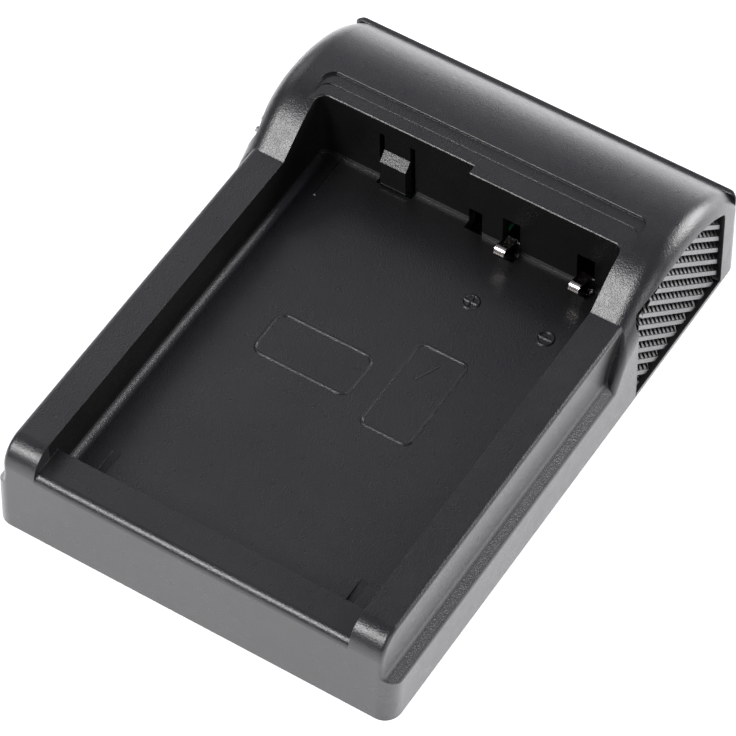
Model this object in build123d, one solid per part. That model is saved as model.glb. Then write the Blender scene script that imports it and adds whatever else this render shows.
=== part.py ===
from build123d import *
import os
from math import cos, radians, sin, sqrt, tan

# Desk charger for one flat camera battery: a moulded tray with a hood at the back that holds
# the charging circuit, two sprung contacts and a latch tab.
# Frame: origin at the bottom centre, +X to the right, +Y towards the hood, +Z up.
# Lengths are millimetres, angles are degrees.

# Body
BODY_WIDTH = 48.0
BODY_DEPTH = 69.2
CORNER_RADIUS = 1.9
WALL = 1.2
FRONT_DRAFT = 3.7
LEDGE_HEIGHT = 5.8
LEDGE_WIDTH = 1.35
LEDGE_TILT = 42.0
LEDGE_HOLLOW_RADIUS = 1.1
LEDGE_EDGE_RADIUS = 0.7
RIM_HEIGHT = 12.1
RIM_END_RADIUS = 3.0
RIM_EDGE_RADIUS = 0.5
RIM_SWEEP_RADIUS = 16.0
RIM_SWEEP_ANGLE = 6.0

# Hood over the back of the body: a slope up from the ledge, a shoulder behind the rim, and an arch
HOOD_LENGTH = 22.5
HOOD_HEIGHT = 16.4
HOOD_RADIUS = 17.2
HOOD_APEX_INSET = 13.1
HOOD_EDGE_RADIUS = 2.4
SHOULDER_ANGLE = 36.0
SLOPE_ANGLE = 59.0
SLOPE_FOOT_RADIUS = 2.0
BACK_PLATE = 0.7
BACK_PLATE_HEIGHT = 11.1
BACK_PLATE_CORNER = 1.2
BACK_PLATE_ROUND = 0.2

# Tray that the battery drops into
TRAY_WIDTH = 37.5
FLOOR_HEIGHT = 6.6
FLOOR_THICKNESS = 1.5
FLOOR_BLEND = 1.1
TRAY_CORNER_RADIUS = 1.0
FRONT_LIP_HEIGHT = 9.95
FRONT_LIP_WIDTH = 4.9
FRONT_LIP_RADIUS = 1.05
HOOD_ROOM = 15.0
CONTACT_WALL_STEP = 1.1
CONTACT_WALL_START = 0.2

# Shallow band cut in the hood's roof behind the tray opening
ROOF_BAND_LENGTH = 3.0
ROOF_BAND_DROP = 0.35
ROOF_BAND_MARGIN = 0.9
ROOF_BAND_CORNER = 1.6
ROOF_STEP_ROUND = 0.25
ROOF_INNER_BAND_LENGTH = 1.6
ROOF_INNER_BAND_DROP = 0.45
EDGE_ROUND = 0.3

# Raised marks and sunk ramps on the tray floor
MARK_HEIGHT = 0.15
MARK_LINE = 0.35
MARK_BEVEL = 0.1
PANEL_MARK = (11.9, 6.05)
PANEL_MARK_CENTRE = (-4.8, -3.95)
PANEL_MARK_RADIUS = 1.3
BATTERY_MARK = (6.2, 12.3)
BATTERY_MARK_CENTRE = (6.8, -2.8)
BATTERY_MARK_RADIUS = 0.9
STROKE_ANGLE = 65.0
POLARITY_MARK_RADIUS = 1.05
POLARITY_MARK_INSET = 8.1
RAMP_WIDTH = 0.9
RAMP_LENGTH = 4.85
RAMP_DEPTH = 0.6
RAMP_OFFSET = 14.95
GUIDE_LENGTH = 5.8
GUIDE_OFFSET = 16.15

# Latch tab in the left half of the tray's back wall
LATCH_CENTRE = -9.3
LATCH_WIDTH = 3.2
LATCH_SLOT = 0.6
LATCH_TOP = 13.9
LATCH_REACH = 1.0
LATCH_SHOULDER = 10.6
LATCH_WEDGE_FOOT = 7.0
LATCH_FOOT = 6.0
LATCH_FLOOR_NOTCH = 0.8

# Sprung contacts in the right half of the back wall
CONTACT_CENTRES = (5.45, 14.5)
CONTACT_WIDTH = 1.2
CONTACT_THICKNESS = 0.3
CONTACT_SLOT_WIDTH = 2.1
CONTACT_SLOT_HEIGHT = 4.7
CONTACT_FLOOR_SLOT = 1.4
CONTACT_NOSE_REACH = 3.1
CONTACT_NOSE_HEIGHT = 3.4
CONTACT_NOSE_RADIUS = 0.5
CONTACT_TIP_DROP = 2.0
CONTACT_FOOT_WIDTH = 1.6
CONTACT_FOOT_LENGTH = 2.4
CONTACT_GAP = 0.15
SPARE_SLOT = (-0.4, 1.85)
SPARE_SLOT_HEIGHT = 3.6

# Grip panels behind a window in each side of the hood
GRIP_FRONT = 1.05
GRIP_BACK = 3.75
GRIP_ROOF = 1.7
GRIP_FRONT_RADIUS = 2.0
GRIP_BACK_RADIUS = 0.6
GRIP_OVERLAP = 0.4
GRIP_PLATE = 1.2
GRIP_GAP = 0.45
GRIP_SUNK = 0.35
GRIP_SILL = 0.5
RIB_ANGLE = 45.0
RIB_PITCH = 1.37
RIB_LAND = 0.5
RIB_SLOPE = 0.3
TOOTH_PITCH = 1.27
TOOTH_WIDTH = 0.6
TOOTH_SLOPE = 0.75
TOOTH_SUNK = 0.06

# Base cover and its screws
BASE_THICKNESS = 1.2
BASE_GAP = 0.15
SCREW_DIAMETER = 2.0
SCREW_HEAD_DIAMETER = 3.8
SCREW_SUNK = 0.1
SCREW_SLOT = 0.45
PILOT_GAP = 0.05
BOSS_DIAMETER = 5.0
TRAY_SCREW_LENGTH = 4.6
HOOD_SCREW_LENGTH = 7.5
TRAY_SCREW_X = 16.5
TRAY_SCREW_INSET = 8.1
HOOD_SCREW_X = 17.5
HOOD_SCREW_INSET = 7.6

# Charging circuit
BOARD_WIDTH = 40.4
BOARD_LENGTH = 20.6
BOARD_THICKNESS = 1.0
BOARD_STANDOFF = 1.0
BOARD_BACK_GAP = 0.3
CARRIER_DEPTH = 3.4
CARRIER_HEIGHT = 2.4
CARRIER_MARGIN = 1.9
INLET_WIDTH = 7.4
INLET_HEIGHT = 2.6
INLET_DEPTH = 5.2
INLET_SHEET = 0.3
INLET_SUNK = 0.5
INLET_CUT_GAP = 0.5
TONGUE_WIDTH = 4.6
TONGUE_THICKNESS = 0.6
LIGHT_OFFSET = 9.5
LIGHT_DIAMETER = 2.4
LIGHT_FLANGE = 0.5
CONTROLLER = (3.9, 4.9, 1.5)
CONTROLLER_PLACE = (-7.0, 3.9)
TRANSISTOR = (1.6, 2.9, 1.1)
TRANSISTOR_PLACE = (0.5, 4.2)
LEAD = (0.4, 0.9, 0.2)
LEAD_LIFT = 0.1
INDUCTOR = (5.0, 5.0, 3.0)
INDUCTOR_PLACE = (-7.0, 14.0)
INDUCTOR_CORNER = 0.9
CAN_DIAMETER = 4.0
CAN_HEIGHT = 5.4
CAN_FOOT = 0.6
CAN_PLACES = ((-13.1, 11.0), (0.0, 11.2))
DIODE = (4.3, 2.6, 2.1)
DIODE_PLACE = (9.0, 14.6)
FUSE = (3.2, 1.6, 0.9)
FUSE_PLACE = (7.0, 17.6)
CHIP_RESISTOR = (2.0, 1.25, 0.5)
RESISTOR_PLACES = ((-16.0, 1.8), (-12.8, 1.8), (-16.0, 4.4), (-12.8, 4.4), (-2.8, 2.4), (-2.8, 5.0))
CHIP_CAPACITOR = (2.0, 1.25, 1.1)
CAPACITOR_PLACES = ((4.4, 1.8), (7.6, 1.8), (10.8, 1.8), (14.0, 1.8))
LAMP = (3.0, 1.3, 2.2)

# Worked out from the sizes above
FRONT = -BODY_DEPTH / 2
BACK = BODY_DEPTH / 2
SIDE = BODY_WIDTH / 2
RIM_SIDE = SIDE - LEDGE_WIDTH
LEDGE_FOOT = LEDGE_HEIGHT - LEDGE_EDGE_RADIUS * cos(radians(LEDGE_TILT))
TRAY_SIDE = TRAY_WIDTH / 2
TRAY_FRONT = FRONT + FRONT_LIP_WIDTH
TRAY_BACK = BACK - HOOD_ROOM
CONTACT_WALL = TRAY_BACK - CONTACT_WALL_STEP
HOOD_FRONT = BACK - HOOD_LENGTH
APEX = BACK - HOOD_APEX_INSET
FLOOR_UNDERSIDE = FLOOR_HEIGHT - FLOOR_THICKNESS
BOARD_UNDERSIDE = BASE_THICKNESS + BOARD_STANDOFF
BOARD_TOP = BOARD_UNDERSIDE + BOARD_THICKNESS
BOARD_BACK = BACK - WALL - BOARD_BACK_GAP
BOARD_FRONT = BOARD_BACK - BOARD_LENGTH
HIGH = HOOD_HEIGHT + 4
TRAY_SCREWS = [(x, FRONT + TRAY_SCREW_INSET) for x in (-TRAY_SCREW_X, TRAY_SCREW_X)]
HOOD_SCREWS = [(x, BACK - HOOD_SCREW_INSET) for x in (-HOOD_SCREW_X, HOOD_SCREW_X)]


def span_box(x, y, z):
    """Box between the two limits given for each axis."""
    size = [high - low for low, high in (x, y, z)]
    centre = [(high + low) / 2 for low, high in (x, y, z)]
    return Pos(*centre) * Box(*size)


def upright(radius, height, at, low=0.0):
    """Cylinder standing on the height low."""
    return Pos(at[0], at[1], low + height / 2) * Cylinder(radius, height)


def across(outline, left, right):
    """Solid made by moving an outline in the Y-Z plane from x = left to x = right."""
    return Pos(left, 0, 0) * extrude(Plane.YZ * outline, amount=right - left)


def corner_at(outline, y, z):
    """The outline's corner nearest to a point."""
    return outline.vertices().sort_by_distance((y, z, 0))[0]


def arch_height(y, inset=0.0):
    """Height of the hood's arch at y, or of the surface at a depth of inset below it."""
    radius = HOOD_RADIUS - inset
    return HOOD_HEIGHT - HOOD_RADIUS + sqrt(radius**2 - (y - APEX) ** 2)


def on_arc(centre, radius, tilt):
    """Point of an arc in the Y-Z plane where its surface leans forwards by an angle."""
    lean = radians(tilt)
    return (centre[0] - radius * sin(lean), centre[1] + radius * cos(lean))


def front_at(z, inset=0.0):
    """Place of the leaning front face at a height, or of the face at a depth of inset behind it."""
    return FRONT + inset + z * tan(radians(FRONT_DRAFT))


def shoulder_radius():
    """Radius of the round between the shoulder and the arch's apex."""
    shoulder = radians(SHOULDER_ANGLE)
    spare = (APEX - HOOD_FRONT) * tan(shoulder) - (HOOD_HEIGHT - RIM_HEIGHT)
    return spare / (sin(shoulder) * tan(shoulder) - 1 + cos(shoulder))


def hood_outline(inset):
    """Side view of the hood: up a slope from the ledge, over the shoulder and the arch to the back."""
    slope = radians(SLOPE_ANGLE)
    shoulder = radians(SHOULDER_ANGLE)
    radius = shoulder_radius() - inset
    centre = (APEX, HOOD_HEIGHT - inset - radius)
    apex, half, bend = [on_arc(centre, radius, share * SHOULDER_ANGLE) for share in (0, 0.5, 1)]
    lean = (slope + shoulder) / 2
    shift = inset / cos((slope - shoulder) / 2)
    crease = (HOOD_FRONT + shift * sin(lean), RIM_HEIGHT - shift * cos(lean))
    run = (RIM_HEIGHT - LEDGE_FOOT) / tan(slope)
    foot = (HOOD_FRONT - run + inset * tan(slope / 2), LEDGE_FOOT - inset)
    start = foot[0] - 2 * SLOPE_FOOT_RADIUS
    back = BACK - inset
    corner = (back, arch_height(back, inset))
    middle = (APEX + back) / 2
    sides = Polyline(bend, crease, foot, (start, foot[1]), (start, 0), (back, 0), corner)
    arch = ThreePointArc(corner, (middle, arch_height(middle, inset)), apex)
    outline = make_face([*sides.edges(), arch, ThreePointArc(apex, half, bend)])
    return fillet(corner_at(outline, *foot), SLOPE_FOOT_RADIUS + inset)


def rim_outline(inset):
    """Side view of the tray, whose rims end in a large round at the leaning front."""
    high = HOOD_FRONT + LEDGE_WIDTH
    top = RIM_HEIGHT - inset
    points = [(front_at(0, inset), 0), (high, 0), (high, top), (front_at(top, inset), top)]
    outline = make_face(Polyline(*points, close=True))
    return fillet(corner_at(outline, *points[-1]), RIM_END_RADIUS - inset)


def swept(centre, radius, start, end):
    """Hollow arc in the X-Z plane between two tilts of its surface from the level."""
    tilts = [radians(tilt) for tilt in (start, (start + end) / 2, end)]
    points = [(centre[0] - radius * sin(tilt), centre[1] - radius * cos(tilt)) for tilt in tilts]
    return ThreePointArc(*points)


def rim_section():
    """Front view of the tray: each rim's wall sweeps out into a sloping ledge with a rounded edge."""
    steep = 90 - RIM_SWEEP_ANGLE
    tilt = radians(LEDGE_TILT)
    reach = LEDGE_HOLLOW_RADIUS * (sin(radians(steep)) - sin(tilt))
    foot = RIM_SIDE + RIM_SWEEP_RADIUS * (1 - sin(radians(steep))) + reach
    edge = SIDE - LEDGE_EDGE_RADIUS * (1 - sin(tilt))
    foot_height = LEDGE_HEIGHT + (edge - foot) * tan(tilt)
    hollow = (foot + LEDGE_HOLLOW_RADIUS * sin(tilt), foot_height + LEDGE_HOLLOW_RADIUS * cos(tilt))
    bend = hollow[1] - LEDGE_HOLLOW_RADIUS * cos(radians(steep))
    start = bend + RIM_SWEEP_RADIUS * cos(radians(steep))
    curves = [swept((RIM_SIDE + RIM_SWEEP_RADIUS, start), RIM_SWEEP_RADIUS, 90, steep)]
    curves.append(swept(hollow, LEDGE_HOLLOW_RADIUS, steep, LEDGE_TILT))
    curves.append(Line((foot, foot_height), (edge, LEDGE_HEIGHT)))
    curves.append(swept((SIDE - LEDGE_EDGE_RADIUS, LEDGE_FOOT), -LEDGE_EDGE_RADIUS, LEDGE_TILT, 90))
    corners = [(SIDE, 0), (0, 0), (0, RIM_HEIGHT), (RIM_SIDE, RIM_HEIGHT)]
    rest = Polyline((SIDE, LEDGE_FOOT), *corners, (RIM_SIDE, start))
    half = make_face([*curves, *rest.edges()])
    return Plane.XZ * (half + mirror(half, Plane.YZ))


def side_edges(solid, x, low):
    """Edges of a solid in the planes of the given x and -x whose middles are above the height low."""
    flat = [edge for edge in solid.edges() if edge.center().Z > low]
    return [edge for edge in flat if abs(abs(edge.center().X) - x) < PILOT_GAP]


def rounded_rim():
    """Front part of the body without its hollow: base, ledges and rims with rounded edges."""
    rim = along_y(rim_section(), FRONT, HOOD_FRONT + LEDGE_WIDTH) & across(rim_outline(0), -SIDE, SIDE)
    near = [edge for edge in rim.edges() if edge.center().Y < front_at(RIM_HEIGHT) + RIM_END_RADIUS / 2]
    ends = [edge for edge in near if abs(edge.center().X) > RIM_SIDE - PILOT_GAP]
    tops = rim.edges().filter_by(Axis.Y).group_by(Axis.Z)[-1]
    return fillet(tops + [edge for edge in ends if edge.center().Z > PILOT_GAP], RIM_EDGE_RADIUS)


def back_plate():
    """Flat end wall of the hood, which closes the arch and stands out beyond its rounded edges."""
    points = [(-SIDE, 0), (SIDE, 0), (SIDE, BACK_PLATE_HEIGHT), (-SIDE, BACK_PLATE_HEIGHT)]
    outline = make_face(Polyline(*points, close=True))
    outline = fillet(outline.vertices().group_by(Axis.Y)[-1], BACK_PLATE_CORNER)
    plate = along_y(Plane.XZ * outline, BACK - BACK_PLATE, BACK)
    return fillet(plate.edges().filter_by(Axis.X).group_by(Axis.Z)[-1], BACK_PLATE_ROUND)


def rounded_hood():
    """Hood without its hollow: its side edges are rounded widely over the arch and tightly below."""
    hood = across(hood_outline(0), -SIDE, SIDE)
    wide = min(HOOD_EDGE_RADIUS, shoulder_radius() - WALL)
    hood = fillet(side_edges(hood, SIDE, RIM_HEIGHT), wide)
    low = [edge for edge in side_edges(hood, SIDE, LEDGE_FOOT - PILOT_GAP) if edge.center().Y < HOOD_FRONT]
    return fillet(low, LEDGE_EDGE_RADIUS)


def hollow_rim(inset):
    """Front part of the body at a depth of inset below its surface."""
    side = SIDE - inset
    outline = rim_outline(inset)
    base = span_box((-side, side), (FRONT, BACK), (0, LEDGE_FOOT - inset))
    return (across(outline, -side, side) & base) + across(outline, -RIM_SIDE + inset, RIM_SIDE - inset)


def front_corner(inset):
    """Space outside the rounded right-hand front corner, which leans with the front face."""
    centre = Pos(SIDE - CORNER_RADIUS, FRONT + CORNER_RADIUS)
    reach = CORNER_RADIUS + WALL
    square = centre * Rectangle(reach, reach, align=(Align.MIN, Align.MAX))
    lean = radians(FRONT_DRAFT)
    outside = square - centre * Circle(CORNER_RADIUS - inset)
    return extrude(outside, amount=HIGH, dir=(0, sin(lean), cos(lean)))


def body_solid(inset):
    """The body's filled form, or the form at a depth of inset below its surface."""
    if inset == 0:
        front = rounded_rim()
        back = rounded_hood() + back_plate()
    else:
        front = hollow_rim(inset)
        back = across(hood_outline(inset), -SIDE + inset, SIDE - inset)
    plan = RectangleRounded(BODY_WIDTH - 2 * inset, 2 * BODY_DEPTH, CORNER_RADIUS - inset)
    back &= extrude(Pos(0, BACK - inset - BODY_DEPTH) * plan, amount=HIGH)
    return (front - both_sides(front_corner(inset))) + back


def tray_plan(grow):
    """Plan of the tray, grown by a wall all round, with the contact wall's step at the back."""
    side = TRAY_SIDE + grow
    back = TRAY_BACK + grow
    contact = CONTACT_WALL + grow
    step = CONTACT_WALL_START + grow
    front = TRAY_FRONT - grow
    points = [(-side, front), (side, front), (side, contact), (step, contact), (step, back), (-side, back)]
    plan = make_face(Polyline(*points, close=True))
    corners = [corner_at(plan, side, contact), corner_at(plan, -side, back)]
    return fillet(corners, TRAY_CORNER_RADIUS + grow)


def roof_band(length, drop, crest):
    """Space over a shallow band in the hood's roof, back to a step with a rounded crest."""
    side = TRAY_SIDE + ROOF_BAND_MARGIN
    level = HOOD_HEIGHT - drop
    step = TRAY_BACK + length
    radius = min(ROOF_STEP_ROUND, (crest - level) / 2)
    centre = (step + radius, crest - radius)
    low, half, high = [on_arc(centre, radius, tilt) for tilt in (90, 45, 0)]
    sides = Polyline(high, (high[0], HIGH), (HOOD_FRONT, HIGH), (HOOD_FRONT, level), (step, level), low)
    space = across(make_face([ThreePointArc(low, half, high), *sides.edges()]), -side, side)
    plan = Pos(0, high[0] - BODY_DEPTH / 2) * RectangleRounded(2 * side, BODY_DEPTH, ROOF_BAND_CORNER)
    return space & extrude(plan, amount=HIGH)


def edge_strip(level):
    """Outline of what is taken off a square edge at the origin's wall to round it."""
    centre = (EDGE_ROUND, level - EDGE_ROUND)
    curve = ThreePointArc(*[on_arc(centre, EDGE_ROUND, tilt) for tilt in (0, 45, 90)])
    sides = Polyline((0, level - EDGE_ROUND), (0, level), (EDGE_ROUND, level))
    return make_face([curve, *sides.edges()])


def opening_rounds():
    """Strips that round the hood's edge over the tray, with a turn at each back corner."""
    strip = edge_strip(HOOD_HEIGHT - ROOF_INNER_BAND_DROP)
    end = TRAY_SIDE - TRAY_CORNER_RADIUS
    cuts = [Pos(0, TRAY_BACK, 0) * across(strip, -end, CONTACT_WALL_START)]
    cuts.append(Pos(0, CONTACT_WALL, 0) * across(strip, CONTACT_WALL_START, end))
    turned = Plane.YZ * (Pos(TRAY_CORNER_RADIUS, 0) * strip)
    left = revolve(turned, Axis.Z, 90)
    cuts.append(Pos(-end, TRAY_BACK - TRAY_CORNER_RADIUS, 0) * left)
    cuts.append(Pos(end, CONTACT_WALL - TRAY_CORNER_RADIUS, 0) * mirror(left, Plane.YZ))
    return cuts


def front_lip_cut():
    """Space above the front lip, whose outer edge turns down into the leaning front."""
    low = FRONT_LIP_HEIGHT - FRONT_LIP_RADIUS
    centre = (front_at(low) + FRONT_LIP_RADIUS / cos(radians(FRONT_DRAFT)), low)
    tilts = [share * (90 - FRONT_DRAFT) for share in (0, 0.5, 1)]
    top, half, foot = [on_arc(centre, FRONT_LIP_RADIUS, tilt) for tilt in tilts]
    inner = TRAY_FRONT + WALL
    outer = FRONT - WALL
    corners = [(inner, FRONT_LIP_HEIGHT), (inner, HIGH), (outer, HIGH), (outer, foot[1])]
    rest = Polyline(top, *corners, foot)
    return across(make_face([ThreePointArc(top, half, foot), *rest.edges()]), -TRAY_SIDE, TRAY_SIDE)


def corner_bead(x, z, inwards, radius, start, end):
    """Concave blend along Y in the corner between a level face and an upright one."""
    reach = x + inwards * radius
    turn = radius * (1 - cos(radians(45)))
    curve = ThreePointArc((reach, z), (x + inwards * turn, z + turn), (x, z + radius))
    sides = Polyline((x, z + radius), (x, z), (reach, z))
    outline = Plane.XZ * make_face([curve, *sides.edges()])
    return Pos(0, start, 0) * extrude(outline, amount=start - end)


def raised(outline, centre, turn=0.0):
    """Mark raised from an outline on the tray floor, with bevelled edges."""
    mark = extrude(outline, amount=MARK_HEIGHT)
    mark = chamfer(mark.faces().sort_by(Axis.Z)[-1].edges(), MARK_BEVEL)
    return Pos(*centre, FLOOR_HEIGHT) * Rot(0, 0, turn) * mark


def frame_outline(width, length, radius):
    """Rectangular line with rounded corners."""
    inner = RectangleRounded(width - 2 * MARK_LINE, length - 2 * MARK_LINE, radius - MARK_LINE)
    return RectangleRounded(width, length, radius) - inner


def floor_marks():
    """Panel frame, battery frame with a stroke, two polarity signs and a guide line."""
    marks = [raised(frame_outline(*PANEL_MARK, PANEL_MARK_RADIUS), PANEL_MARK_CENTRE)]
    marks.append(raised(frame_outline(*BATTERY_MARK, BATTERY_MARK_RADIUS), BATTERY_MARK_CENTRE))
    stroke = BATTERY_MARK[0] / 2
    stroke_centre = (BATTERY_MARK_CENTRE[0] - MARK_LINE, BATTERY_MARK_CENTRE[1] + stroke)
    marks.append(raised(Rectangle(stroke, MARK_LINE), stroke_centre, STROKE_ANGLE))
    ring = Circle(POLARITY_MARK_RADIUS) - Circle(POLARITY_MARK_RADIUS - MARK_LINE)
    minus = Rectangle(2 * (POLARITY_MARK_RADIUS - MARK_LINE), MARK_LINE)
    plus = minus + Rot(0, 0, 90) * minus
    for x, sign in zip(CONTACT_CENTRES, (plus, minus)):
        marks.append(raised(ring + sign, (x, CONTACT_WALL - POLARITY_MARK_INSET)))
    guide_centre = (-GUIDE_OFFSET, TRAY_BACK - GUIDE_LENGTH / 2)
    marks.append(raised(Rectangle(MARK_LINE, GUIDE_LENGTH), guide_centre))
    return marks


def floor_ramps():
    """Sunk ramps at the tray's front corners, which run out into the floor."""
    outline = Polyline(
        (TRAY_FRONT, FLOOR_HEIGHT),
        (TRAY_FRONT, FLOOR_HEIGHT - RAMP_DEPTH),
        (TRAY_FRONT + RAMP_LENGTH, FLOOR_HEIGHT),
        close=True,
    )
    half = RAMP_WIDTH / 2
    return both_sides(across(make_face(outline), RAMP_OFFSET - half, RAMP_OFFSET + half))


def wall_slots():
    """Openings in the tray's back wall and floor for the latch, the contacts and a spare contact."""
    low = FLOOR_UNDERSIDE - 1
    through = TRAY_BACK + 2 * WALL
    half = LATCH_WIDTH / 2 + LATCH_SLOT
    latch = (LATCH_CENTRE - half, LATCH_CENTRE + half)
    cuts = [span_box(latch, (TRAY_BACK - LATCH_FLOOR_NOTCH, through), (low, FLOOR_HEIGHT))]
    cuts.append(span_box(latch, (TRAY_BACK, through), (low, LATCH_TOP)))
    for x in CONTACT_CENTRES:
        slot = (x - CONTACT_SLOT_WIDTH / 2, x + CONTACT_SLOT_WIDTH / 2)
        cuts.append(span_box(slot, (CONTACT_WALL - CONTACT_FLOOR_SLOT, through), (low, FLOOR_HEIGHT)))
        cuts.append(span_box(slot, (CONTACT_WALL, through), (low, FLOOR_HEIGHT + CONTACT_SLOT_HEIGHT)))
    cuts.append(span_box(SPARE_SLOT, (CONTACT_WALL, through), (low, FLOOR_HEIGHT + SPARE_SLOT_HEIGHT)))
    return cuts


def grip_outline(roof, grow, low):
    """Side window's outline, grown at both ends: upright ends under a top that follows the arch."""
    start = HOOD_FRONT + GRIP_FRONT - grow
    end = BACK - GRIP_BACK + grow
    middle = (start + end) / 2
    first = (start, arch_height(start, roof))
    last = (end, arch_height(end, roof))
    sides = Polyline(first, (start, low), (end, low), last)
    top = ThreePointArc(last, (middle, arch_height(middle, roof)), first)
    outline = make_face([*sides.edges(), top])
    outline = fillet(corner_at(outline, *first), GRIP_FRONT_RADIUS + grow)
    return fillet(corner_at(outline, *last), GRIP_BACK_RADIUS + grow)


def both_sides(solid):
    """A solid and its mirror image on the other side of the body."""
    return [solid, mirror(solid, Plane.YZ)]


def inlet_outline(grow):
    """Outline of the power inlet in the X-Z plane, with its two lower corners cut off."""
    half = INLET_WIDTH / 2 + grow
    low = BOARD_TOP - grow
    high = BOARD_TOP + INLET_HEIGHT + grow
    cut = INLET_HEIGHT / 3
    points = [(-half, high), (-half, low + cut), (-half + cut, low)]
    points += [(-x, z) for x, z in reversed(points)]
    return Plane.XZ * make_face(Polyline(*points, close=True))


def along_y(outline, start, end):
    """Solid made by moving an outline in the X-Z plane from y = start to y = end."""
    return Pos(0, start, 0) * extrude(outline, amount=start - end)


def light_at(radius, start, end):
    """Cylinder along Y on the light guide's axis."""
    lift = LIGHT_DIAMETER / 2 + LIGHT_FLANGE + PILOT_GAP
    centre = (LIGHT_OFFSET, (start + end) / 2, BOARD_TOP + lift)
    return Pos(*centre) * Rot(90, 0, 0) * Cylinder(radius, end - start)


def upper_shell():
    """Moulded housing: tray, rims, hood and side bands in one piece, open underneath."""
    filled = body_solid(0)
    tub = Pos(0, 0, FLOOR_UNDERSIDE) * extrude(tray_plan(WALL), amount=HIGH)
    tub_side = TRAY_SIDE + WALL
    lip = span_box((-tub_side, tub_side), (FRONT, TRAY_FRONT), (FRONT_LIP_HEIGHT - WALL, HIGH))
    shell = filled - (body_solid(WALL) - tub - lip)
    boss = BOSS_DIAMETER / 2
    boss_height = FLOOR_UNDERSIDE + PILOT_GAP - BASE_THICKNESS
    bosses = [upright(boss, boss_height, at, BASE_THICKNESS) for at in TRAY_SCREWS]
    bosses += [upright(boss, HIGH, at, BOARD_TOP) for at in HOOD_SCREWS]
    shell += [post & filled for post in bosses]
    shell -= Pos(0, 0, FLOOR_HEIGHT) * extrude(tray_plan(0), amount=HIGH)
    shell -= front_lip_cut()
    roof = arch_height(TRAY_BACK + ROOF_BAND_LENGTH)
    shell -= roof_band(ROOF_BAND_LENGTH, ROOF_BAND_DROP, roof)
    shell -= roof_band(ROOF_INNER_BAND_LENGTH, ROOF_INNER_BAND_DROP, HOOD_HEIGHT - ROOF_BAND_DROP)
    shell -= opening_rounds()
    shell += both_sides(corner_bead(TRAY_SIDE, FLOOR_HEIGHT, -1, FLOOR_BLEND, TRAY_FRONT, CONTACT_WALL))
    shell -= wall_slots() + floor_ramps()
    shell += floor_marks()
    window = across(grip_outline(GRIP_ROOF, 0, -1), SIDE - 1.5 * WALL, SIDE + WALL)
    shell -= both_sides(window)
    pilot = SCREW_DIAMETER / 2 + PILOT_GAP
    shell -= [upright(pilot, TRAY_SCREW_LENGTH + PILOT_GAP, at) for at in TRAY_SCREWS]
    shell -= [upright(pilot, HOOD_SCREW_LENGTH + 2 * PILOT_GAP, at, SCREW_SUNK) for at in HOOD_SCREWS]
    shell -= along_y(inlet_outline(INLET_CUT_GAP), BACK - 2 * WALL, BACK + WALL)
    shell -= light_at(LIGHT_DIAMETER / 2 + PILOT_GAP, BACK - 2 * WALL, BACK + WALL)
    return shell


def base_cover():
    """Flat cover that closes the shell from below and carries the board's posts."""
    width = BODY_WIDTH - 2 * (WALL + BASE_GAP)
    front = front_at(BASE_THICKNESS, WALL + BASE_GAP)
    back = BACK - WALL - BASE_GAP
    plan = Pos(0, (front + back) / 2) * RectangleRounded(width, back - front, CORNER_RADIUS - WALL)
    plate = extrude(plan, amount=BASE_THICKNESS)
    sill_strip = Pos(0, GRIP_SILL / 2) * Rectangle(2 * BODY_DEPTH, GRIP_SILL)
    sill = grip_outline(GRIP_ROOF, -BASE_GAP, 0) & sill_strip
    plate += both_sides(across(sill, width / 2 - WALL, SIDE))
    seat = grip_outline(WALL, GRIP_OVERLAP + BASE_GAP, GRIP_SILL)
    plate -= both_sides(across(seat, SIDE - WALL - GRIP_PLATE - BASE_GAP, SIDE))
    plate += [upright(BOSS_DIAMETER / 2, BOARD_UNDERSIDE, at) for at in HOOD_SCREWS]
    clear = SCREW_DIAMETER / 2 + 2 * PILOT_GAP
    head = SCREW_HEAD_DIAMETER / 2 + PILOT_GAP
    for x, y in TRAY_SCREWS + HOOD_SCREWS:
        plate -= upright(clear, HIGH, (x, y), -1)
        plate -= upright(head, SCREW_SUNK, (x, y))
        plate -= Pos(x, y, SCREW_SUNK + (head - clear) / 2) * Cone(head, clear, head - clear)
    return plate


def screw(at, length):
    """Countersunk cross-head screw driven upwards from the underside."""
    radius = SCREW_DIAMETER / 2
    head = SCREW_HEAD_DIAMETER / 2
    x, y = at
    cone = Pos(x, y, SCREW_SUNK + (head - radius) / 2) * Cone(head, radius, head - radius)
    solid = cone + upright(radius, length - SCREW_SUNK, at, SCREW_SUNK)
    slot = Box(SCREW_HEAD_DIAMETER * 0.6, SCREW_SLOT, 2 * SCREW_SLOT)
    cross = Pos(x, y, SCREW_SUNK) * (slot + Rot(0, 0, 90) * slot)
    return solid - cross


def latch_tab():
    """Springy tab with a wedge nose, free at its foot and joined to the wall at its top."""
    outline = Polyline(
        (TRAY_BACK, LATCH_FOOT),
        (TRAY_BACK + WALL, LATCH_FOOT),
        (TRAY_BACK + WALL, LATCH_TOP),
        (TRAY_BACK, LATCH_TOP),
        (TRAY_BACK, LATCH_SHOULDER + LATCH_REACH),
        (TRAY_BACK - LATCH_REACH, LATCH_SHOULDER),
        (TRAY_BACK - LATCH_REACH, LATCH_WEDGE_FOOT),
        (TRAY_BACK, LATCH_WEDGE_FOOT),
        close=True,
    )
    half = LATCH_WIDTH / 2
    return across(make_face(outline), LATCH_CENTRE - half, LATCH_CENTRE + half)


def contact_root():
    """Point on the spring arm's middle line where it bends away from its foot."""
    return (CONTACT_WALL + WALL, BOARD_TOP + CONTACT_THICKNESS / 2 + CONTACT_GAP)


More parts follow.
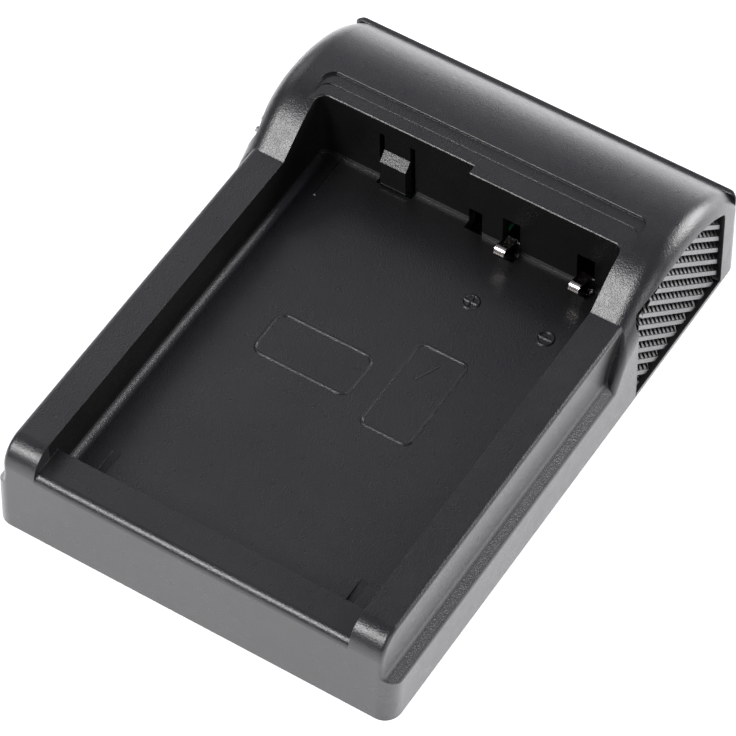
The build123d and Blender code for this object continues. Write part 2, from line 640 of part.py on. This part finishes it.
def contact_spring(x):
    """Bent spring strip: up through the floor slot to a round nose, then down into the wall slot."""
    nose = (CONTACT_WALL - CONTACT_NOSE_REACH - CONTACT_NOSE_RADIUS, FLOOR_HEIGHT + CONTACT_NOSE_HEIGHT)
    tip = (CONTACT_WALL + WALL / 3, nose[1] - CONTACT_TIP_DROP)
    path = FilletPolyline(contact_root(), nose, tip, radius=CONTACT_NOSE_RADIUS)
    strip = trace(path, CONTACT_THICKNESS)
    return across(strip, x - CONTACT_WIDTH / 2, x + CONTACT_WIDTH / 2)


def foot_front():
    """Front end of the contact feet, just behind the springs' roots."""
    return contact_root()[0] + CONTACT_THICKNESS / 2 + CONTACT_GAP


def contact_feet():
    """Soldered foot of each spring, flat on the board."""
    y = (foot_front(), foot_front() + CONTACT_FOOT_LENGTH)
    z = (BOARD_TOP, BOARD_TOP + CONTACT_THICKNESS)
    half = CONTACT_FOOT_WIDTH / 2
    return [span_box((x - half, x + half), y, z) for x in CONTACT_CENTRES]


def contact_carrier():
    """Plastic block that clamps the contact feet to the board."""
    front = foot_front() + CONTACT_THICKNESS
    x = (min(CONTACT_CENTRES) - CARRIER_MARGIN, max(CONTACT_CENTRES) + CARRIER_MARGIN)
    block = span_box(x, (front, front + CARRIER_DEPTH), (BOARD_TOP, BOARD_TOP + CARRIER_HEIGHT))
    block = fillet(block.edges().filter_by(Axis.X).group_by(Axis.Z)[-1], CONTACT_THICKNESS)
    return block - contact_feet()


def grip_plane(shift):
    """Plane across the ribs: its x runs up and back, its y runs out of the side."""
    angle = radians(RIB_ANGLE)
    down = Vector(0, cos(angle), -sin(angle))
    middle = Vector(SIDE - WALL, (HOOD_FRONT + GRIP_FRONT + BACK - GRIP_BACK) / 2, HOOD_HEIGHT / 2)
    return Plane(origin=middle + down * shift, x_dir=(0, sin(angle), cos(angle)), z_dir=down)


def rib_rows(height, slope, shift, length):
    """Row of saw-tooth ribs across the panel, moved along their own direction by a length."""
    count = int(BODY_DEPTH / 4 / RIB_PITCH)
    root = -GRIP_PLATE / 2
    points = [(-count * RIB_PITCH, root)]
    for row in range(-count, count):
        low = row * RIB_PITCH
        points += [(low, 0), (low, height), (low + RIB_LAND, height), (low + RIB_LAND + slope, 0)]
    points.append((count * RIB_PITCH, root))
    outline = make_face(Polyline(*points, close=True))
    return extrude(grip_plane(shift) * outline, amount=length)


def grip_panel():
    """Right-hand grip: a plate behind the side window with toothed diagonal ribs in the window."""
    inner = SIDE - WALL - GRIP_PLATE
    roof = WALL + PILOT_GAP
    outline = grip_outline(roof, GRIP_OVERLAP, GRIP_SILL + PILOT_GAP) & hood_outline(roof)
    plate = across(outline, inner, SIDE - WALL)
    height = WALL - GRIP_SUNK
    reach = BODY_DEPTH / 4
    teeth = int(reach / TOOTH_PITCH)
    shifts = [tooth * TOOTH_PITCH for tooth in range(-teeth, teeth)]
    ribs = rib_rows(height, RIB_SLOPE, -reach, 2 * reach)
    ribs += [rib_rows(height - TOOTH_SUNK, TOOTH_SLOPE, shift, TOOTH_WIDTH) for shift in shifts]
    window = across(grip_outline(GRIP_ROOF + GRIP_GAP, -GRIP_GAP, GRIP_SILL + GRIP_GAP), inner, SIDE)
    return plate + (ribs & window)


def circuit_board():
    """Board that lies on the cover's posts under the hood."""
    half = BOARD_WIDTH / 2
    board = span_box((-half, half), (BOARD_FRONT, BOARD_BACK), (BOARD_UNDERSIDE, BOARD_TOP))
    board = fillet(board.edges().filter_by(Axis.Z), WALL)
    hole = SCREW_DIAMETER / 2 + 2 * PILOT_GAP
    return board - [upright(hole, HIGH, at) for at in HOOD_SCREWS]


def power_inlet():
    """Folded metal shell of the power inlet, open towards the back."""
    back = BACK - INLET_SUNK
    front = back - INLET_DEPTH
    shell = along_y(inlet_outline(0), front, back)
    return shell - along_y(inlet_outline(-INLET_SHEET), front + INLET_SHEET, back + WALL)


def inlet_tongue():
    """Insulating tongue inside the inlet, with the block it grows from."""
    front = BACK - INLET_SUNK - INLET_DEPTH + INLET_SHEET
    block = along_y(inlet_outline(-INLET_SHEET), front, front + INLET_DEPTH / 4)
    middle = BOARD_TOP + INLET_HEIGHT / 2
    half = TONGUE_THICKNESS / 2
    y = (front, BACK - INLET_SUNK - INLET_DEPTH / 5)
    tongue = span_box((-TONGUE_WIDTH / 2, TONGUE_WIDTH / 2), y, (middle - half, middle + half))
    return block + tongue


def light_guide():
    """Clear pin that shows the lamp on the back face, with a flange inside the wall."""
    inner = BACK - WALL
    pin = light_at(LIGHT_DIAMETER / 2, inner - LIGHT_FLANGE, BACK)
    return pin + light_at(LIGHT_DIAMETER / 2 + LIGHT_FLANGE, inner - LIGHT_FLANGE, inner)


def on_board(size, at, lift=0.0):
    """Box of a given size standing on the board at a place measured from its middle front edge."""
    x, y = at
    return Pos(x, BOARD_FRONT + y, BOARD_TOP + lift + size[2] / 2) * Box(*size)


def leads(body, at, count, lead):
    """Two rows of bent leads beside a moulded part, one row on each side along X."""
    width, run, height = lead
    pitch = body[1] / count
    solids = []
    for side in (-1, 1):
        for index in range(count):
            y = at[1] + (index + 0.5) * pitch - body[1] / 2
            foot = on_board((run, width, height), (at[0] + side * (body[0] + run) / 2, y))
            solids.append(foot)
    return solids


def moulded(size, at):
    """Moulded part body, lifted clear of the board by its leads."""
    body = on_board(size, at, LEAD_LIFT)
    return chamfer(body.faces().sort_by(Axis.Z)[-1].edges(), LEAD_LIFT)


def power_inductor():
    """Square inductor with its corners cut off."""
    body = on_board(INDUCTOR, INDUCTOR_PLACE)
    return chamfer(body.edges().filter_by(Axis.Z), INDUCTOR_CORNER)


def can_capacitors():
    """Two can capacitors, each on a square foot."""
    cans = []
    for x, y in CAN_PLACES:
        foot = on_board((CAN_DIAMETER, CAN_DIAMETER, CAN_FOOT), (x, y))
        can = upright(CAN_DIAMETER / 2, CAN_HEIGHT - CAN_FOOT, (x, BOARD_FRONT + y), BOARD_TOP + CAN_FOOT)
        can = fillet(can.edges().sort_by(Axis.Z)[-1], CAN_FOOT / 2)
        cans.append(foot + can)
    return cans


def lamp():
    """Indicator lamp on the board, facing the light guide."""
    back = BACK - WALL - LIGHT_FLANGE - PILOT_GAP
    width, depth, height = LAMP
    return on_board((width, depth, height), (LIGHT_OFFSET, back - depth / 2 - BOARD_FRONT))


grip = grip_panel()
positive, negative = CONTACT_CENTRES
nodes = {
    "upper_shell": [upper_shell()],
    "base_cover": [base_cover()],
    "tray_screws": [screw(at, TRAY_SCREW_LENGTH) for at in TRAY_SCREWS],
    "hood_screws": [screw(at, HOOD_SCREW_LENGTH) for at in HOOD_SCREWS],
    "grip_right": [grip],
    "grip_left": [mirror(grip, Plane.YZ)],
    "latch_tab": [latch_tab()],
    "contact_positive": [contact_spring(positive)],
    "contact_negative": [contact_spring(negative)],
    "contact_feet": contact_feet(),
    "contact_carrier": [contact_carrier()],
    "circuit_board": [circuit_board()],
    "power_inlet": [power_inlet()],
    "inlet_tongue": [inlet_tongue()],
    "indicator_lamp": [lamp()],
    "light_guide": [light_guide()],
    "charge_controller": [moulded(CONTROLLER, CONTROLLER_PLACE)],
    "controller_leads": leads(CONTROLLER, CONTROLLER_PLACE, 4, LEAD),
    "switching_transistor": [moulded(TRANSISTOR, TRANSISTOR_PLACE)],
    "transistor_leads": leads(TRANSISTOR, TRANSISTOR_PLACE, 3, LEAD),
    "power_inductor": [power_inductor()],
    "can_capacitors": can_capacitors(),
    "rectifier_diode": [on_board(DIODE, DIODE_PLACE)],
    "input_fuse": [on_board(FUSE, FUSE_PLACE)],
    "chip_resistors": [on_board(CHIP_RESISTOR, at) for at in RESISTOR_PLACES],
    "chip_capacitors": [on_board(CHIP_CAPACITOR, at) for at in CAPACITOR_PLACES],
}

os.makedirs("parts", exist_ok=True)
for name, pieces in nodes.items():
    solids = [solid for piece in pieces for solid in piece.solids()]
    export_step(Compound(solids), f"parts/{name}.step")
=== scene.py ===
from math import pi, radians

import bpy
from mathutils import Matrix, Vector

# Finish, light and camera for the battery charger. Lengths are metres, angles are degrees.
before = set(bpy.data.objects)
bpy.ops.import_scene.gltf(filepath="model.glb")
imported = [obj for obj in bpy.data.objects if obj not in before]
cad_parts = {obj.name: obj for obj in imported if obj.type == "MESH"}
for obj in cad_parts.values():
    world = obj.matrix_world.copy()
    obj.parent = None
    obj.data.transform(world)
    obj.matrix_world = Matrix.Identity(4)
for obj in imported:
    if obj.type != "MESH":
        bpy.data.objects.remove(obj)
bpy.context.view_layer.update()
MM = 0.001

# Camera at the photograph's viewing angle
CAMERA_PLACE = (0.15566, -0.23630, 0.38151)
CAMERA_TURN = (36.781, 0.779, 32.445)
CAMERA_LENS = 222.27
SENSOR_WIDTH = 36

# Stage: a pale floor under an even sky. The floor glows where the camera or a reflection sees it.
FLOOR_SIZE = 4.0
FLOOR_COLOUR = (0.95, 0.95, 0.95)
FLOOR_ROUGHNESS = 0.9
FLOOR_GLOW = 0.4
MIRROR_GLOW = 0.9
SKY_COLOUR = (0.95, 0.94, 1.16)
SKY_STRENGTH = 0.28

# Soft boxes around the object, each with its direction, size and brightness. The key stands at the
# front left and the rim box behind the object on the right.
AIM = Vector((0.0, 0.0, 0.008))
LAMP_DISTANCE = 1.5
LAMPS = {
    "key": ((-0.33, -0.60, 0.728), (0.54, 0.54), 18.0),
    "rim_box": ((0.42, 0.83, 0.36), (0.9, 0.8), 12.0),
    "side_box": ((0.88, -0.25, 0.40), (0.9, 0.4), 4.0),
    "back_box": ((0.77, 0.50, 0.38), (0.6, 0.6), 0.7),
    "back_strip": ((-0.29, 0.90, 0.30), (1.2, 0.35), 0.5),
    "left_box": ((-0.68, 0.46, 0.57), (0.8, 0.8), 1.5),
}

# Textures: detail of the noise, and the stretches of it that drive colour and roughness
NOISE_DETAIL = 2.0
TINT_STRETCH = (0.35, 0.65)
POLISH_STRETCH = (0.3, 0.7)

# Moulded plastic: gloss, roughness and its spread, sizes of the patches of colour and of gloss in
# grains, step of the display value between patches, and softening of sharp edges
PLASTIC_GLOSS = {"Specular IOR Level": 0.55, "Coat Weight": 0.3, "Coat Roughness": 0.3}
PLASTIC_ROUGHNESS = 0.3
PLASTIC_SPREAD = 0.1
COLOUR_PATCH = 60
GLOSS_PATCH = 8
SHADE_STEP = 3
EDGE_SOFT = 0.12 * MM

# Middle and half size of the tray's inside, upward part of a normal below which a face counts as a
# wall, and the part of the reflections that the tray's walls keep
TRAY_MIDDLE = (0.0, -0.005, 0.012)
TRAY_HALF = (0.0189, 0.0261, 0.0048)
WALL_LIMIT = 0.5
WALL_GLOSS = 0.05

# Smooth materials: darkest and lightest share of the colour, and spread of the roughness
SMOOTH_SHADES = (0.9, 1.08)
SMOOTH_SPREAD = 0.15


def linear(value):
    """Linear light of a display value from 0 to 255."""
    share = value / 255
    return share / 12.92 if share <= 0.04045 else ((share + 0.055) / 1.055) ** 2.4


def grey(value, warm=0.0):
    """Linear colour of a neutral display value, shifted towards red and away from blue by warm."""
    return (linear(value + warm), linear(value), linear(value - warm))


class Finish:
    """A material with one surface shader, and the textures that drive it."""

    def __init__(self, name, colour, roughness, sockets):
        self.material = bpy.data.materials.new(name)
        self.material.use_nodes = True
        self.nodes = self.material.node_tree.nodes
        self.links = self.material.node_tree.links
        self.shader = self.nodes["Principled BSDF"]
        self.shader.inputs["Base Color"].default_value = (*colour, 1)
        self.shader.inputs["Roughness"].default_value = roughness
        for socket, value in sockets.items():
            self.shader.inputs[socket].default_value = value
        self.place = self.nodes.new("ShaderNodeTexCoord").outputs["Object"]

    def noise(self, size):
        """Noise whose features are about size long."""
        texture = self.nodes.new("ShaderNodeTexNoise")
        texture.inputs["Scale"].default_value = 1 / size
        texture.inputs["Detail"].default_value = NOISE_DETAIL
        self.links.new(self.place, texture.inputs["Vector"])
        return texture.outputs["Fac"]

    def tint(self, share, dark, light):
        """Base colour between two colours, driven by a texture."""
        ramp = self.nodes.new("ShaderNodeValToRGB")
        for element, position, colour in zip(ramp.color_ramp.elements, TINT_STRETCH, (dark, light)):
            element.position = position
            element.color = (*colour, 1)
        self.links.new(share, ramp.inputs["Fac"])
        self.links.new(ramp.outputs["Color"], self.shader.inputs["Base Color"])

    def polish(self, share, roughness, spread):
        """Roughness that varies by a spread, driven by a texture."""
        stretch = self.nodes.new("ShaderNodeMapRange")
        stretch.inputs["From Min"].default_value = POLISH_STRETCH[0]
        stretch.inputs["From Max"].default_value = POLISH_STRETCH[1]
        stretch.inputs["To Min"].default_value = (1 - spread) * roughness
        stretch.inputs["To Max"].default_value = (1 + spread) * roughness
        self.links.new(share, stretch.inputs["Value"])
        self.links.new(stretch.outputs["Result"], self.shader.inputs["Roughness"])

    def math(self, operation, first, second):
        """Result of an operation on two values, each a socket or a number."""
        node = self.nodes.new("ShaderNodeMath")
        node.operation = operation
        for value, socket in zip((first, second), node.inputs):
            if isinstance(value, (int, float)):
                socket.default_value = value
            else:
                self.links.new(value, socket)
        return node.outputs["Value"]

    def parts(self, vector):
        """The three parts of a vector, without their signs."""
        split = self.nodes.new("ShaderNodeSeparateXYZ")
        self.links.new(vector, split.inputs["Vector"])
        return [self.math("ABSOLUTE", part, 0) for part in split.outputs]

    def walls_within(self, middle, half):
        """1 on the upright faces inside a box, and 0 elsewhere."""
        shift = self.nodes.new("ShaderNodeVectorMath")
        shift.operation = "SUBTRACT"
        shift.inputs[1].default_value = middle
        self.links.new(self.place, shift.inputs[0])
        upward = self.parts(self.nodes.new("ShaderNodeNewGeometry").outputs["True Normal"])[2]
        inside = self.math("LESS_THAN", upward, WALL_LIMIT)
        for part, size in zip(self.parts(shift.outputs["Vector"]), half):
            inside = self.math("MULTIPLY", inside, self.math("LESS_THAN", part, size))
        return inside

    def matt(self, share, kept):
        """Weakens the reflections to the part that is kept, where share is 1."""
        strength = self.math("SUBTRACT", 1, self.math("MULTIPLY", share, 1 - kept))
        for name in ("Specular IOR Level", "Coat Weight"):
            socket = self.shader.inputs[name]
            self.links.new(self.math("MULTIPLY", strength, socket.default_value), socket)

    def relief(self, height, depth, edge):
        """Fine surface relief of a given depth, over sharp edges that are softened by a radius."""
        soft = self.nodes.new("ShaderNodeBevel")
        soft.inputs["Radius"].default_value = edge
        bump = self.nodes.new("ShaderNodeBump")
        bump.inputs["Distance"].default_value = depth
        self.links.new(height, bump.inputs["Height"])
        self.links.new(soft.outputs["Normal"], bump.inputs["Normal"])
        self.links.new(bump.outputs["Normal"], self.shader.inputs["Normal"])


def textured_plastic(name, value, grain, depth):
    """Moulded plastic with a fine spark-eroded grain, and matt on the tray's walls."""
    finish = Finish(name, grey(value), PLASTIC_ROUGHNESS, PLASTIC_GLOSS)
    finish.tint(finish.noise(COLOUR_PATCH * grain), grey(value - SHADE_STEP), grey(value + SHADE_STEP))
    finish.polish(finish.noise(GLOSS_PATCH * grain), PLASTIC_ROUGHNESS, PLASTIC_SPREAD)
    finish.relief(finish.noise(grain), depth, EDGE_SOFT)
    finish.matt(finish.walls_within(TRAY_MIDDLE, TRAY_HALF), WALL_GLOSS)
    return finish.material


def smooth_material(name, colour, roughness, grain, metallic=0.0):
    """Smooth material with a slight variation of colour and gloss."""
    finish = Finish(name, colour, roughness, {"Metallic": metallic})
    share = finish.noise(grain)
    finish.tint(share, *[[min(1.0, shade * part) for part in colour] for shade in SMOOTH_SHADES])
    finish.polish(share, roughness, SMOOTH_SPREAD)
    return finish.material


# Display value, grain and depth of the grain of each plastic
PLASTICS = {
    "shell_plastic": (22, 0.16 * MM, 0.04 * MM),
    "base_plastic": (22, 0.2 * MM, 0.02 * MM),
    "grip_plastic": (22, 0.15 * MM, 0.01 * MM),
    "carrier_plastic": (24, 0.15 * MM, 0.005 * MM),
}

# Colour, roughness and grain of each metal
METALS = {
    "screw_steel": (grey(150, 2), 0.3, 0.2 * MM),
    "contact_metal": (grey(215, 8), 0.2, 0.15 * MM),
    "inlet_metal": (grey(200), 0.25, 0.15 * MM),
    "lead_tin": (grey(205), 0.3, 0.1 * MM),
    "can_metal": (grey(210), 0.25, 0.1 * MM),
}

# Colour, roughness and grain of the other materials
OTHERS = {
    # board_laminate: the laminate's own green, darkened as painted shade so that the contact slots it shows
    # through look black
    "board_laminate": ((0.004, 0.035, 0.016), 0.35, 0.4 * MM),
    "lamp_resin": (grey(225, 4), 0.3, 0.3 * MM),
    "guide_clear": (grey(235), 0.12, 0.3 * MM),
    "chip_resin": (grey(34), 0.5, 0.1 * MM),
    "ferrite": (grey(70), 0.6, 0.1 * MM),
    "fuse_ceramic": (grey(222, 6), 0.4, 0.2 * MM),
    "resistor_ceramic": (grey(28), 0.4, 0.1 * MM),
    "capacitor_ceramic": ((0.35, 0.25, 0.15), 0.4, 0.1 * MM),
}

finishes = {name: textured_plastic(name, *settings) for name, settings in PLASTICS.items()}
finishes.update({name: smooth_material(name, *settings, metallic=1.0) for name, settings in METALS.items()})
finishes.update({name: smooth_material(name, *settings) for name, settings in OTHERS.items()})


def dress(node):
    """Gives a solid the finish of its own material slot."""
    for slot in node.material_slots:
        slot.material = finishes[slot.material.name.split(".")[0]]


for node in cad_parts.values():
    dress(node)


def soft_box(name, direction, size, brightness):
    """Rectangular lamp that faces the object, and whose power grows with its area."""
    data = bpy.data.lights.new(name, "AREA")
    data.shape = "RECTANGLE"
    data.size, data.size_y = size
    data.energy = brightness * pi * size[0] * size[1]
    lamp = bpy.data.objects.new(name, data)
    lamp.location = AIM + LAMP_DISTANCE * Vector(direction).normalized()
    lamp.rotation_euler = (lamp.location - AIM).to_track_quat("Z", "Y").to_euler()
    bpy.context.collection.objects.link(lamp)


for name, settings in LAMPS.items():
    soft_box(name, *settings)


def white_floor():
    """Pale floor that is lifted towards white where it is seen directly or in a reflection."""
    finish = Finish("floor", FLOOR_COLOUR, FLOOR_ROUGHNESS, {"Emission Color": (1, 1, 1, 1)})
    path = finish.nodes.new("ShaderNodeLightPath").outputs
    mirrored = finish.math("MAXIMUM", path["Is Glossy Ray"], path["Is Transmission Ray"])
    seen = finish.math("MULTIPLY", path["Is Camera Ray"], FLOOR_GLOW)
    glow = finish.math("ADD", seen, finish.math("MULTIPLY", mirrored, MIRROR_GLOW))
    finish.links.new(glow, finish.shader.inputs["Emission Strength"])
    return finish.material


bpy.ops.mesh.primitive_plane_add(size=FLOOR_SIZE)
floor = bpy.context.object
floor.name = "floor"
floor.data.materials.append(white_floor())

world = bpy.data.worlds.new("studio")
world.use_nodes = True
sky = world.node_tree.nodes["Background"]
sky.inputs["Color"].default_value = (*SKY_COLOUR, 1)
sky.inputs["Strength"].default_value = SKY_STRENGTH
bpy.context.scene.world = world
bpy.context.scene.view_settings.view_transform = "Standard"

camera_data = bpy.data.cameras.new("camera")
camera_data.lens = CAMERA_LENS
camera_data.sensor_width = SENSOR_WIDTH
camera = bpy.data.objects.new("camera", camera_data)
camera.location = CAMERA_PLACE
camera.rotation_euler = [radians(angle) for angle in CAMERA_TURN]
bpy.context.collection.objects.link(camera)
bpy.context.scene.camera = camera
